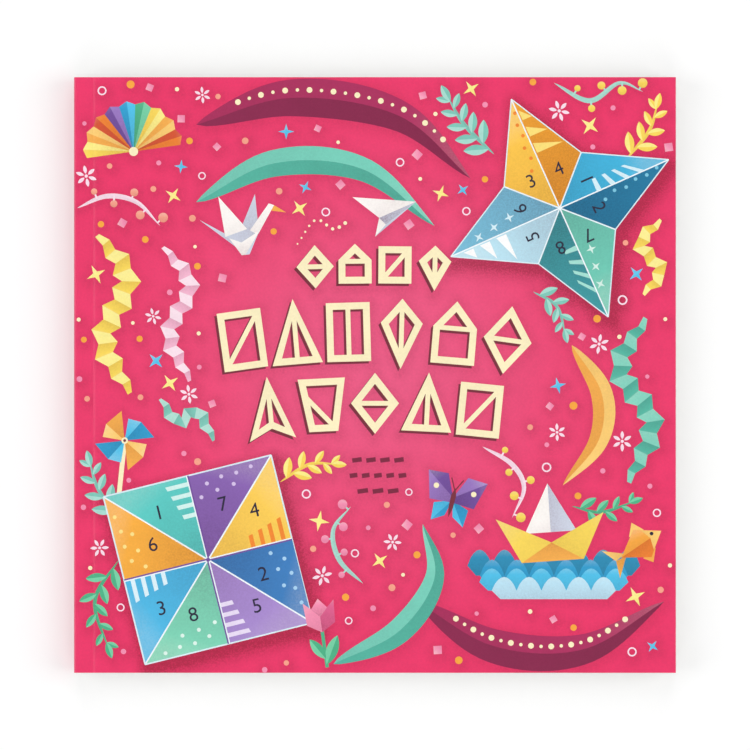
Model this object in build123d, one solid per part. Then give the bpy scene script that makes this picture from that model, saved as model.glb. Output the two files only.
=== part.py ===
"""Square softcover activity book: a block of tear-out folding sheets, glued along one edge and
wrapped in one sheet of printed card.

Frame: the book lies on its back cover. +Z is out of the front cover, +Y towards the head (the
top of the cover picture), +X towards the fore edge, so the spine lies along -X. The origin is
the middle of the underside. Sizes are in millimetres.
"""

import os

from build123d import *

# --- The sheets ------------------------------------------------------------------------------
SHEET_COUNT = 80
SHEET_THICKNESS = 0.13  # uncoated paper, 120 grams a square metre
SHEET_SIZE = 200.0  # a torn-out sheet is square, as folding needs
TEAR_STRIP = 1.25  # what stays in the glue when a sheet is torn out

# --- The glue --------------------------------------------------------------------------------
BACK_GLUE = 0.4  # between the sheets' bound edges and the spine
SIDE_GLUE = 0.1  # film that holds the hinge strips to the outer sheets
GLUE_STOP = 0.8  # the film ends this far short of the score

# --- The cover card --------------------------------------------------------------------------
CARD = 0.35  # folding board, 300 grams a square metre
HINGE_STRIP = 6.5  # from the outside of the spine to the score that the cover turns at
SCORE_WIDTH = 1.4  # the pressed groove at each score, shared by the two sides of it
SCORE_DEPTH = 0.1
FOLD_RADIUS = 0.2  # inside radius of the card where it turns round the block
EDGE_BREAK = 0.08  # softened cut edges of the covers

# --- Worked out from the above ---------------------------------------------------------------
BLOCK_THICKNESS = SHEET_COUNT * SHEET_THICKNESS
BLOCK_WIDTH = SHEET_SIZE + TEAR_STRIP
THICKNESS = BLOCK_THICKNESS + 2 * (SIDE_GLUE + CARD)
WIDTH = CARD + BACK_GLUE + BLOCK_WIDTH
HEIGHT = SHEET_SIZE

SPINE_X = -WIDTH / 2  # outside of the spine
FORE_X = WIDTH / 2  # fore edge, where covers and sheets are trimmed flush
SCORE_X = SPINE_X + HINGE_STRIP
BLOCK_X = SPINE_X + CARD + BACK_GLUE  # bound edge of the sheets


def extrude_profile(profile):
    """A section drawn in XZ, run from the tail to the head of the book."""
    return extrude(Plane.XZ * profile, amount=HEIGHT / 2, both=True)


def rectangle(low_x, low_z, high_x, high_z):
    """A section's rectangle, from its lowest to its highest corner."""
    return Pos((low_x + high_x) / 2, (low_z + high_z) / 2) * Rectangle(
        high_x - low_x, high_z - low_z
    )


def rounded_at_spine(face, radius):
    """The section with its two corners nearest the spine rounded."""
    return fillet(face.vertices().group_by(Axis.X)[0], radius)


def groove(surface_z):
    """Section of the V groove that is pressed at a score, in the outer face at surface_z."""
    inward = -SCORE_DEPTH if surface_z > THICKNESS / 2 else SCORE_DEPTH
    return make_face(
        Polyline(
            (SCORE_X - SCORE_WIDTH / 2, surface_z),
            (SCORE_X + SCORE_WIDTH / 2, surface_z),
            (SCORE_X, surface_z + inward),
            close=True,
        )
    )


def sheet_block():
    """All the sheets, gathered and trimmed, as one block."""
    low_z = CARD + SIDE_GLUE
    return extrude_profile(rectangle(BLOCK_X, low_z, FORE_X, low_z + BLOCK_THICKNESS))


def spine_glue():
    """The glue: a layer on the block's bound edge that runs a little way onto both outer sheets."""
    inside_card = rounded_at_spine(
        rectangle(SPINE_X + CARD, CARD, SCORE_X - GLUE_STOP, THICKNESS - CARD), FOLD_RADIUS
    )
    sheets = rectangle(BLOCK_X, CARD + SIDE_GLUE, SCORE_X, THICKNESS - CARD - SIDE_GLUE)
    return extrude_profile(inside_card - sheets)


def cover_spine():
    """The middle of the cover card: the spine and a glued hinge strip on each side of it."""
    outside = rounded_at_spine(
        rectangle(SPINE_X, 0, SCORE_X, THICKNESS), FOLD_RADIUS + CARD
    )
    inside = rounded_at_spine(
        rectangle(SPINE_X + CARD, CARD, SCORE_X, THICKNESS - CARD), FOLD_RADIUS
    )
    return extrude_profile(outside - inside - groove(0) - groove(THICKNESS))


def cover_panel(outer_z):
    """A cover that swings at its score, with its outer face at outer_z."""
    inner_z = CARD if outer_z == 0 else THICKNESS - CARD
    low_z, high_z = sorted((outer_z, inner_z))
    panel = extrude_profile(rectangle(SCORE_X, low_z, FORE_X, high_z) - groove(outer_z))
    cut_edges = [
        edge
        for edge in panel.edges()
        if abs(edge.center().Z - outer_z) < EDGE_BREAK and edge.center().X > SCORE_X + SCORE_WIDTH
    ]
    return chamfer(cut_edges, EDGE_BREAK)


parts = {
    "front_cover": cover_panel(THICKNESS),
    "back_cover": cover_panel(0),
    "cover_spine": cover_spine(),
    "sheet_block": sheet_block(),
    "spine_glue": spine_glue(),
}

os.makedirs("parts", exist_ok=True)
for name, shape in parts.items():
    export_step(shape, f"parts/{name}.step")
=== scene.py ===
"""Looks of a square softcover activity book: tear-out folding sheets in a printed card cover."""

import math
import random

import bpy
import numpy as np
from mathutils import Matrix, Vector
from mathutils.geometry import delaunay_2d_cdt
from mathutils.kdtree import KDTree


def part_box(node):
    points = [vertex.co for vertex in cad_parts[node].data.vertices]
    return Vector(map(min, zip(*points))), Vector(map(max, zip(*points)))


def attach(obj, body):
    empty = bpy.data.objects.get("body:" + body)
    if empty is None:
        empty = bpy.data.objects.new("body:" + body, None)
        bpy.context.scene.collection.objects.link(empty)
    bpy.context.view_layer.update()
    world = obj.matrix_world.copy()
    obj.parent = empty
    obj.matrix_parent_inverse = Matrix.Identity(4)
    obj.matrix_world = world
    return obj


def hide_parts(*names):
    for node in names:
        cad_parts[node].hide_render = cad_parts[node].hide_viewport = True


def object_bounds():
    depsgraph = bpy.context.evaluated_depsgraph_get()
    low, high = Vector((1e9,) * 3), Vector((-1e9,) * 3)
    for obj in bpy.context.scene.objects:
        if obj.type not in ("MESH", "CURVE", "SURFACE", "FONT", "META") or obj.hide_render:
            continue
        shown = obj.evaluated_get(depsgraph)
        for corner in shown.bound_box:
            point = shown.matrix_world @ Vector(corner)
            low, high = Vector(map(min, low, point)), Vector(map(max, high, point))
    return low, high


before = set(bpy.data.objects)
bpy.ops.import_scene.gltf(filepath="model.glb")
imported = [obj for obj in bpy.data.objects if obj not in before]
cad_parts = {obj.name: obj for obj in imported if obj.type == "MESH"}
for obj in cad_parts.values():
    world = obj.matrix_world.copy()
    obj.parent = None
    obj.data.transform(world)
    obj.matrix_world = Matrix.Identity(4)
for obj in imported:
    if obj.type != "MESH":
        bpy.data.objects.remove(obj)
cad_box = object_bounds()

# --- The stack of sheets -------------------------------------------------------------------------
# Eighty square sheets of 120 gram uncoated paper, printed to the edge in many colours. They are
# gathered in one stack and guillotined together, so their edges differ only by hundredths of a
# millimetre, and the print shows at the edges as faint tinted lines. Some sheets are made a little
# darker: painted shade that stands for the shadow lines between groups of sheets.
MM = 0.001
SHEETS = 80
SHEET_GAP = 0.012 * MM  # air between two sheets that lie on each other
TRIM_ERROR = 0.05 * MM  # how far one sheet's edge may stand from the next
WAVE = 0.03 * MM  # the stack's edges rise and fall a little, as pressed paper does


def linear(ink):
    """An sRGB hex colour as linear light."""
    parts = [int(ink[i : i + 2], 16) / 255 for i in (1, 3, 5)]
    return [c / 12.92 if c <= 0.04045 else ((c + 0.055) / 1.055) ** 2.4 for c in parts]


def add(tree, kind, inputs=None, **settings):
    """Adds a node. settings are its properties; inputs are its sockets' values, or what feeds them."""
    node = tree.nodes.new(kind)
    for name, value in settings.items():
        setattr(node, name, value)
    for name, value in (inputs or {}).items():
        if isinstance(value, bpy.types.NodeSocket):
            tree.links.new(value, node.inputs[name])
        else:
            node.inputs[name].default_value = value
    return node


def ramp_of(node, stops):
    """Gives a colour ramp its stops, each a position and an sRGB hex colour."""
    while len(node.color_ramp.elements) < len(stops):
        node.color_ramp.elements.new(1)
    for element, (position, ink) in zip(node.color_ramp.elements, stops):
        element.position = position
        element.color = (*linear(ink), 1)


def uncoated_paper():
    """Uncoated offset paper, wood-free and matt: a soft white with no gloss and a faint tooth of
    fibres. A per-sheet attribute picks what ink each sheet carries out to its cut edge; its two
    darker plain steps are painted shade, sheets darkened to stand for the shadow lines between
    groups of sheets."""
    material = bpy.data.materials.new("uncoated_offset_paper")
    material.use_nodes = True
    tree = material.node_tree
    shader = tree.nodes["Principled BSDF"]
    tint = add(tree, "ShaderNodeAttribute", attribute_name="sheet_ink_and_shade")
    inks = add(tree, "ShaderNodeValToRGB", {"Fac": tint.outputs["Fac"]})
    inks.color_ramp.interpolation = "CONSTANT"
    # The #EFEBE1 and #D8CFC4 steps are painted shade: darker sheets in place of the shadow lines between
    # groups of sheets; the coloured steps are print.
    ramp_of(inks, [
        (0.0, "#F7F4EC"), (0.3, "#EFEBE1"), (0.46, "#F4DDE2"), (0.58, "#D9EAEE"), (0.68, "#F6EED0"),
        (0.76, "#DCEBDD"), (0.84, "#E3DAE8"), (0.9, "#FBF9F3"), (0.96, "#D8CFC4"),
    ])
    where = add(tree, "ShaderNodeTexCoord").outputs["Object"]
    # The tooth of real paper is about 0.1 mm and can't be seen; it is drawn at 0.4 mm.
    tooth = add(tree, "ShaderNodeTexNoise", {"Vector": where, "Scale": 1 / (0.4 * MM), "Detail": 3.0})
    flecks = add(
        tree, "ShaderNodeMapRange",
        {"Value": tooth.outputs["Fac"], "From Min": 0.3, "From Max": 0.7, "To Min": 0.95, "To Max": 1.0},
    )
    scaled = add(
        tree, "ShaderNodeVectorMath",
        {0: inks.outputs["Color"], "Scale": flecks.outputs["Result"]},
        operation="SCALE",
    )
    bump = add(
        tree, "ShaderNodeBump",
        {"Height": tooth.outputs["Fac"], "Distance": 0.012 * MM, "Strength": 0.6},
    )
    tree.links.new(scaled.outputs["Vector"], shader.inputs["Base Color"])
    tree.links.new(bump.outputs["Normal"], shader.inputs["Normal"])
    shader.inputs["Roughness"].default_value = 0.85
    shader.inputs["IOR"].default_value = 1.47
    return material


def stack_tree():
    """Nodes that pile up one sheet after another, each a hair out of line with the last."""
    tree = bpy.data.node_groups.new("pile_of_sheets", "GeometryNodeTree")
    wanted = {
        "Sheets": "NodeSocketInt", "Size": "NodeSocketVector", "First": "NodeSocketVector",
        "Pitch": "NodeSocketFloat", "Trim Error": "NodeSocketFloat", "Wave": "NodeSocketFloat",
        "Paper": "NodeSocketMaterial",
    }
    for name, kind in wanted.items():
        tree.interface.new_socket(name, in_out="INPUT", socket_type=kind)
    tree.interface.new_socket("Geometry", in_out="OUTPUT", socket_type="NodeSocketGeometry")
    given = add(tree, "NodeGroupInput").outputs
    sheet = add(
        tree, "GeometryNodeMeshCube",
        {"Size": given["Size"], "Vertices X": 15, "Vertices Y": 15, "Vertices Z": 2},
    )
    step = add(tree, "ShaderNodeCombineXYZ", {"Z": given["Pitch"]})
    places = add(
        tree, "GeometryNodeMeshLine",
        {"Count": given["Sheets"], "Start Location": given["First"], "Offset": step.outputs["Vector"]},
    )
    pile = add(
        tree, "GeometryNodeInstanceOnPoints",
        {"Points": places.outputs["Mesh"], "Instance": sheet.outputs["Mesh"]},
    )
    stray = add(
        tree, "FunctionNodeRandomValue",
        {"Min": (-1.0, -1.0, 0.0), "Max": (0.0, 1.0, 0.0), "Seed": 4},
        data_type="FLOAT_VECTOR",
    )
    shift = add(
        tree, "ShaderNodeVectorMath",
        {0: stray.outputs["Value"], "Scale": given["Trim Error"]},
        operation="SCALE",
    )
    strayed = add(
        tree, "GeometryNodeTranslateInstances",
        {"Instances": pile.outputs["Instances"], "Translation": shift.outputs["Vector"]},
    )
    # Each sheet's random pick from the ramp: an ink, or for some sheets painted shade.
    tint = add(tree, "FunctionNodeRandomValue", {"Seed": 9}, data_type="FLOAT")
    tinted = add(
        tree, "GeometryNodeStoreNamedAttribute",
        {
            "Geometry": strayed.outputs["Instances"], "Name": "sheet_ink_and_shade",
            "Value": next(s for s in tint.outputs if s.enabled),
        },
        data_type="FLOAT", domain="INSTANCE",
    )
    real = add(tree, "GeometryNodeRealizeInstances", {"Geometry": tinted.outputs["Geometry"]})
    noise = add(tree, "ShaderNodeTexNoise", {"Scale": 30.0, "Detail": 1.0})
    swell = add(
        tree, "ShaderNodeMath", {0: noise.outputs["Fac"], 1: -0.5}, operation="ADD",
    )
    height = add(
        tree, "ShaderNodeMath", {0: swell.outputs["Value"], 1: given["Wave"]}, operation="MULTIPLY",
    )
    rise = add(tree, "ShaderNodeCombineXYZ", {"Z": height.outputs["Value"]})
    waved = add(
        tree, "GeometryNodeSetPosition",
        {"Geometry": real.outputs["Geometry"], "Offset": rise.outputs["Vector"]},
    )
    finished = add(
        tree, "GeometryNodeSetMaterial",
        {"Geometry": waved.outputs["Geometry"], "Material": given["Paper"]},
    )
    add(tree, "NodeGroupOutput", {"Geometry": finished.outputs["Geometry"]})
    return tree


def grown(name, tree, values):
    """A plain mesh object of what the tree makes with these inputs."""
    holder = bpy.data.objects.new(name, bpy.data.meshes.new(name))
    bpy.context.scene.collection.objects.link(holder)
    modifier = holder.modifiers.new("nodes", "NODES")
    modifier.node_group = tree
    sockets = {s.name: s.identifier for s in tree.interface.items_tree if s.in_out == "INPUT"}
    for socket, value in values.items():
        modifier[sockets[socket]] = value
    seen = holder.evaluated_get(bpy.context.evaluated_depsgraph_get())
    made = bpy.data.meshes.new_from_object(seen)
    holder.modifiers.remove(modifier)
    holder.data = made
    return holder


paper = uncoated_paper()
block_low, block_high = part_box("sheet_block")
pitch = (block_high.z - block_low.z) / SHEETS
middle = (block_low + block_high) / 2
pile = grown("sheet_stack", stack_tree(), {
    "Sheets": SHEETS - 1,  # the first printed sheet, on top, is a piece of its own
    "Size": (
        block_high.x - block_low.x - TRIM_ERROR,
        block_high.y - block_low.y - 2 * TRIM_ERROR,
        pitch - SHEET_GAP - WAVE / 8,
    ),
    "First": (middle.x, middle.y, block_low.z + pitch / 2),
    "Pitch": pitch,
    "Trim Error": TRIM_ERROR / 2,
    "Wave": WAVE,
    "Paper": paper,
})
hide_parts("sheet_block")
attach(pile, "block")

# --- The first sheet -----------------------------------------------------------------------------
# The top sheet of the stack, seen when the cover is opened: the same paper, printed flat with the
# pattern that is cut and folded - a square in coloured triangles with plain numerals, and dashed
# fold lines. It is held only by the glue at its bound edge.
BOUND_MARGIN = 4.0  # millimetres beside the bound edge that the print keeps clear of


def place(x=0.0, y=0.0, turn=0.0, size=1.0, flip=False, within=None):
    """Where a motif stands: gives a function that takes its own points to the sheet, all in mm."""
    step = size * complex(math.cos(math.radians(turn)), math.sin(math.radians(turn)))

    def to(point):
        own = complex(-point[0] if flip else point[0], point[1])
        there = complex(x, y) + step * own
        return within((there.real, there.imag)) if within else (there.real, there.imag)

    return to


class Print:
    """The fields of ink on one sheet, in the order that they are laid down."""

    def __init__(self):
        self.outlines, self.inks, self.grades, self.shadows = [], [], [], []

    def field(self, to, points, ink, grade=None):
        """One flat area of ink. grade is two of its points, each with an amount: the ink darkens
        (below 0) or lightens (above 0) evenly from the first to the second."""
        outline = [to(p) for p in points]
        turns = zip(outline, outline[1:] + outline[:1])
        if sum(a[0] * b[1] - b[0] * a[1] for a, b in turns) < 0:
            outline.reverse()
        self.outlines.append(outline)
        self.inks.append(linear(ink))
        if grade:
            (x0, y0, amount0), (x1, y1, amount1) = grade
            grade = (*to((x0, y0)), amount0, *to((x1, y1)), amount1)
        self.grades.append(grade)

    def line(self, to, start, end, width, ink, dash=None):
        """A straight rule, or a row of dashes, each dash as long as the gap after it."""
        a, b = Vector(start), Vector(end)
        along = (b - a).normalized()
        side = Vector((-along.y, along.x)) * width / 2
        pieces = 1 if dash is None else max(1, round((b - a).length / dash / 2))
        share = 1.0 if dash is None else 0.5
        for i in range(pieces):
            low = a.lerp(b, (i + (1 - share) / 2) / pieces)
            high = a.lerp(b, (i + (1 + share) / 2) / pieces)
            self.field(to, [low - side, high - side, high + side, low + side], ink)

    def disc(self, to, x, y, radius, ink, grade=None, sides=18):
        """A round dot."""
        turns = [math.tau * i / sides for i in range(sides)]
        points = [(x + radius * math.cos(a), y + radius * math.sin(a)) for a in turns]
        self.field(to, points, ink, grade)

    def ring(self, to, x, y, radius, width, ink, sides=22):
        """A round line."""
        for i in range(sides):
            a, b = math.tau * i / sides, math.tau * (i + 1) / sides
            inner, outer = radius - width / 2, radius + width / 2
            corners = [(outer, a), (outer, b), (inner, b), (inner, a)]
            self.field(to, [(x + r * math.cos(t), y + r * math.sin(t)) for r, t in corners], ink)

    def numeral(self, to, text, height, ink, x=0.0, y=0.0):
        """A plain numeral from Blender's own font, centred."""
        if text not in numerals:
            letters = bpy.data.curves.new("numeral", "FONT")
            letters.body, letters.resolution_u = text, 3
            letters.align_x, letters.align_y = "CENTER", "CENTER"
            holder = bpy.data.objects.new("numeral", letters)
            filled = bpy.data.meshes.new_from_object(holder)
            numerals[text] = [
                [filled.vertices[v].co.to_2d() for v in face.vertices] for face in filled.polygons
            ]
            bpy.data.objects.remove(holder)
        own = place(x, y, 0, height / 0.72, within=to)  # its digits are 0.72 of the font's size
        for corners in numerals[text]:
            self.field(own, corners, ink)


numerals = {}


def within_outline(outline, x, y):
    """Which of these points lie inside a closed outline."""
    inside = np.zeros(len(x), bool)
    for (ax, ay), (bx, by) in zip(outline, [*outline[1:], outline[0]]):
        if ay != by:
            crosses = (ay > y) != (by > y)
            inside ^= crosses & (x < ax + (y - ay) * (bx - ax) / (by - ay))
    return inside


def cut_sheet(low, high, step, drawn, columns=()):
    """Triangles of a flat sheet that follow every outline. Gives the points, the triangles, and
    for each triangle the last field laid on it, where 0 is the bare ground."""
    points = [low, (high[0], low[1]), high, (low[0], high[1])]
    edges = [(0, 1), (1, 2), (2, 3), (3, 0)]
    reached = []
    for number, outline in enumerate(drawn.outlines, 1):
        across, up = zip(*outline)
        if max(across) > low[0] and min(across) < high[0] and max(up) > low[1] and min(up) < high[1]:
            first, count = len(points), len(outline)
            edges += [(first + i, first + (i + 1) % count) for i in range(count)]
            points += outline
            reached.append((number, outline, min(across), max(across)))
    wide, tall = (max(1, round((high[i] - low[i]) / step)) for i in (0, 1))
    xs = sorted({low[0] + (high[0] - low[0]) * i / wide for i in range(wide + 1)} | set(columns))
    ys = [low[1] + (high[1] - low[1]) * j / tall for j in range(tall + 1)]
    points += [(x, y) for x in xs for y in ys]
    flat, _, faces, _, _, _ = delaunay_2d_cdt([Vector(p) for p in points], edges, [], 0, 1e-5, False)
    flat, faces = np.array([tuple(p) for p in flat]), np.array(faces)
    centres = flat[faces].mean(axis=1)
    here = ((centres > low) & (centres < high)).all(axis=1)
    faces, centres = faces[here], centres[here]
    order = np.argsort(centres[:, 0])
    faces, centres = faces[order], centres[order]
    top_field = np.zeros(len(faces), int)
    for number, outline, left_end, right_end in reached:
        a, b = np.searchsorted(centres[:, 0], (left_end, right_end))
        covered = within_outline(outline, centres[a:b, 0], centres[a:b, 1])
        top_field[a:b][covered] = number
    used, faces = np.unique(faces, return_inverse=True)
    return flat[used], faces.reshape(-1, 3), top_field


def graded(drawn, number, x, y):
    """How much a field darkens or lightens at these points."""
    grade = drawn.grades[number - 1]
    if grade is None:
        return np.zeros_like(x)
    x0, y0, amount0, x1, y1, amount1 = grade
    long = (x1 - x0) ** 2 + (y1 - y0) ** 2
    share = np.clip(((x - x0) * (x1 - x0) + (y - y0) * (y1 - y0)) / long, 0, 1)
    return amount0 + (amount1 - amount0) * share


def coloured(mesh, loops, inks, tones):
    """Stores each corner's ink and tone on the first faces of a mesh; the rest stay bare."""
    ink = np.ones((len(mesh.loops), 4), np.float32)
    tone = np.zeros(len(mesh.loops), np.float32)
    ink[:loops, :3] = inks.reshape(-1, 3)
    tone[:loops] = tones.ravel()
    mesh.attributes.new("ink", "FLOAT_COLOR", "CORNER").data.foreach_set("color", ink.ravel())
    mesh.attributes.new("tone", "FLOAT", "CORNER").data.foreach_set("value", tone)


def linked(name, mesh):
    """A new object that shows this mesh."""
    piece = bpy.data.objects.new(name, mesh)
    bpy.context.scene.collection.objects.link(piece)
    return piece


def ring_of(faces):
    """The corners round the outside of these triangles, in order, anticlockwise."""
    edges = {}
    for face in faces:
        for a, b in zip(face, np.roll(face, -1)):
            edges[int(a)] = edges.get(int(a), set()) | {int(b)}
    sides = {(a, b) for a, ends in edges.items() for b in ends}
    after = {a: b for a, b in sides if (b, a) not in sides}
    ring = [min(after)]
    while after[ring[-1]] != ring[0]:
        ring.append(after[ring[-1]])
    return ring


def printed_slab(name, flat, faces, fold, edge, thick, backing_step, columns=()):
    """A closed slab whose printed side is the given triangles. fold takes a place on the flat
    sheet and a depth to its place in the book; edge pushes the sheet's rim out by its bevel."""
    ring = ring_of(faces)
    rim = [edge(*flat[i]) for i in ring]
    bevel = max(math.dist(flat[i], p) for i, p in zip(ring, rim))
    low, high = np.min(rim, axis=0), np.max(rim, axis=0)
    wide, tall = (max(2, round((high[i] - low[i]) / backing_step)) for i in (0, 1))
    xs = sorted({low[0] + (high[0] - low[0]) * i / wide for i in range(1, wide)} | set(columns))
    ys = [low[1] + (high[1] - low[1]) * j / tall for j in range(1, tall)]
    inside = [(x, y) for x in xs if low[0] + 0.01 < x < high[0] - 0.01 for y in ys]
    loop = list(range(len(rim)))
    back, _, back_faces, kept, _, _ = delaunay_2d_cdt(
        [Vector(p) for p in rim + inside], [], [loop], 1, 1e-5, True
    )
    spot = {old: new for new, olds in enumerate(kept) for old in olds}
    places = [fold(x, y, 0.0) for x, y in flat]
    corners = [tuple(map(int, f)) for f in faces]
    start = len(places)
    places += [fold(x, y, bevel) for x, y in rim]
    floor = len(places)
    places += [fold(p[0], p[1], thick) for p in back]
    count = len(ring)
    for i in range(count):
        j = (i + 1) % count
        corners.append((ring[j], ring[i], start + i, start + j))
        corners.append((start + j, start + i, floor + spot[i], floor + spot[j]))
    walls = len(corners)
    corners += [tuple(floor + v for v in reversed(f)) for f in back_faces]
    mesh = bpy.data.meshes.new(name)
    mesh.from_pydata([Vector(p) * MM for p in places], [], corners)
    mesh.update()
    return mesh, len(faces), walls


def bake_map(mesh, flat, faces, walls, low, high):
    """The UV map OFBake: the printed side takes nine tenths of it each way, the back a strip at
    its right and the cut edges a strip above."""
    layer = mesh.uv_layers.new(name="OFBake")
    uv = np.zeros((len(mesh.loops), 2), np.float32)
    spots = (flat - low) / (np.array(high) - low)
    uv[: 3 * len(faces)] = 0.01 + 0.88 * spots[faces.ravel()]
    points = np.empty(len(mesh.vertices) * 3, np.float32)
    mesh.vertices.foreach_get("co", points)
    points = points.reshape(-1, 3)
    span = np.maximum(points.max(0) - points.min(0), 1e-9)
    share = (points - points.min(0)) / span
    for face in mesh.polygons[len(faces) :]:
        for loop in face.loop_indices:
            x, y, z = share[mesh.loops[loop].vertex_index]
            if face.index < walls:
                uv[loop] = (0.01 + 0.88 * (x + y) / 2, 0.92 + 0.06 * z)
            else:
                uv[loop] = (0.92 + 0.07 * x, 0.01 + 0.88 * y)
    layer.data.foreach_set("uv", uv.ravel())


def smoothed(mesh, angle):
    """Soft shading, with a hard edge wherever faces meet at more than this angle in degrees."""
    mesh.shade_smooth()
    mesh.set_sharp_from_angle(angle=math.radians(angle))


def offset_print(name, roughness, grain_mm, bump_mm, film):
    """Offset litho ink: the attribute ink is its colour, and tone deepens or lifts it through a
    spray of grain, as shading drawn with a dry brush prints. film is a thin laminate over it."""
    material = bpy.data.materials.new(name)
    material.use_nodes = True
    tree = material.node_tree
    shader = tree.nodes["Principled BSDF"]
    ink = add(tree, "ShaderNodeAttribute", attribute_name="ink").outputs["Color"]
    tone = add(tree, "ShaderNodeAttribute", attribute_name="tone").outputs["Fac"]
    where = add(tree, "ShaderNodeTexCoord").outputs["Object"]
    grain = add(
        tree, "ShaderNodeTexNoise",
        {"Vector": where, "Scale": 1 / (grain_mm * MM), "Detail": 2.0, "Roughness": 0.6},
    )
    speckle = add(
        tree, "ShaderNodeMapRange",
        {"Value": grain.outputs["Fac"], "From Min": 0.36, "From Max": 0.64, "To Min": 0.65, "To Max": 1.35},
    )
    sprayed = add(
        tree, "ShaderNodeMath", {0: tone, 1: speckle.outputs["Result"]}, operation="MULTIPLY",
    )
    # Dense ink is a deeper colour, not a grey one, so red falls away less than green and blue.
    depth = add(
        tree, "ShaderNodeMath", {0: sprayed.outputs["Value"], 1: -1.0},
        operation="MULTIPLY", use_clamp=True,
    )
    deep = add(
        tree, "ShaderNodeVectorMath", {0: ink, 1: (0.52, 0.38, 0.42)}, operation="MULTIPLY",
    )
    deepened = add(
        tree, "ShaderNodeMix",
        {"Factor": depth.outputs["Value"], 6: ink, 7: deep.outputs["Vector"]},
        data_type="RGBA",
    )
    lift = add(
        tree, "ShaderNodeMath", {0: sprayed.outputs["Value"], 1: 0.0},
        operation="ADD", use_clamp=True,
    )
    lifted = add(
        tree, "ShaderNodeMix",
        {"Factor": lift.outputs["Value"], 6: deepened.outputs[2], 7: (*linear("#FFF8EC"), 1)},
        data_type="RGBA",
    )
    # Solids of ink are never quite even: wide, weak clouds, and a fine mottle from the card.
    clouds = add(tree, "ShaderNodeTexNoise", {"Vector": where, "Scale": 1 / (9 * MM), "Detail": 2.0})
    mottle = add(tree, "ShaderNodeTexNoise", {"Vector": where, "Scale": 1 / (0.8 * MM), "Detail": 2.0})
    unevenness = add(
        tree, "ShaderNodeMath",
        {0: clouds.outputs["Fac"], 1: mottle.outputs["Fac"]}, operation="ADD",
    )
    evened = add(
        tree, "ShaderNodeMapRange",
        {"Value": unevenness.outputs["Value"], "From Min": 0.7, "From Max": 1.3,
         "To Min": 0.955, "To Max": 1.045},
    )
    laid = add(
        tree, "ShaderNodeVectorMath",
        {0: lifted.outputs[2], "Scale": evened.outputs["Result"]}, operation="SCALE",
    )
    tree.links.new(laid.outputs["Vector"], shader.inputs["Base Color"])
    # The card's own texture shows through ink and film as a low orange peel.
    peel = add(
        tree, "ShaderNodeTexNoise",
        {"Vector": where, "Scale": 1 / (0.7 * MM), "Detail": 3.0, "Roughness": 0.55},
    )
    bump = add(
        tree, "ShaderNodeBump",
        {"Height": peel.outputs["Fac"], "Distance": bump_mm * MM, "Strength": 0.5},
    )
    tree.links.new(bump.outputs["Normal"], shader.inputs["Normal"])
    sheen = add(
        tree, "ShaderNodeMapRange",
        {"Value": peel.outputs["Fac"], "From Min": 0.3, "From Max": 0.7,
         "To Min": roughness - 0.04, "To Max": roughness + 0.04},
    )
    tree.links.new(sheen.outputs["Result"], shader.inputs["Roughness"])
    shader.inputs["IOR"].default_value = 1.5
    shader.inputs["Coat Weight"].default_value = film
    shader.inputs["Coat Roughness"].default_value = 0.22
    return material


template = Print()
sheet_side = (block_high.y - block_low.y) / MM
bound_x, fore_x = block_low.x / MM, block_high.x / MM
sheet_middle = place((bound_x + BOUND_MARGIN + fore_x) / 2, 0)
HALF = 88.0  # half the side of the square that is cut out and folded
NIGHT = "#27223A"
PAIRS = [("#72CDB9", "#A9DDD3"), ("#FFD75E", "#FFF0A6"), ("#F58BB0", "#FBD3E6"), ("#6CC7EA", "#BFE5F6")]
for quarter in range(4):
    turned = place(0, 0, 90 * quarter, within=sheet_middle)
    strong, weak = PAIRS[quarter]
    template.field(turned, [(0, 0), (HALF, 0), (HALF, HALF)], weak, ((HALF, 0, 0.0), (0, 0, -0.2)))
    template.field(turned, [(0, 0), (HALF, HALF), (0, HALF)], strong, ((0, HALF, 0.0), (0, 0, -0.2)))
    template.field(turned, [(HALF, HALF), (HALF, HALF / 2), (HALF / 2, HALF)], "#FFF8E4")
    template.disc(turned, HALF * 0.86, HALF * 0.86, 6.0, strong, sides=28)
    for i in range(5):
        template.disc(turned, 70 - 9 * i, 9 + 3.4 * i, 1.6 - 0.15 * i, "#FFFDF6")
        template.disc(turned, 9 + 3.4 * i, 70 - 9 * i, 1.6 - 0.15 * i, "#FFFDF6")
for quarter in range(4):
    turned = place(0, 0, 90 * quarter, within=sheet_middle)
    template.line(turned, (0, 0), (HALF, HALF), 0.5, NIGHT, dash=1.8)
    template.line(turned, (0, 0), (HALF, 0), 0.5, NIGHT, dash=1.8)
    template.line(turned, (HALF, 0), (0, HALF), 0.5, NIGHT, dash=1.8)
    template.line(turned, (-HALF, HALF), (HALF, HALF), 0.45, NIGHT)
    for number, (x, y) in enumerate(((50, 21), (21, 50))):
        upright = place(*turned((x, y)))
        template.disc(upright, 0, 0, 7.2, "#FFFDF6", sides=30)
        template.numeral(upright, str(2 * quarter + number + 1), 8.0, NIGHT)

sheet_flat, sheet_faces, sheet_top = cut_sheet(
    (bound_x, -sheet_side / 2), (fore_x, sheet_side / 2), 10.0, template
)
top_z = block_high.z / MM


def laid_flat(x, y, depth):
    """The first sheet lies flat on the stack."""
    return (x, y, top_z - depth)


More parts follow.
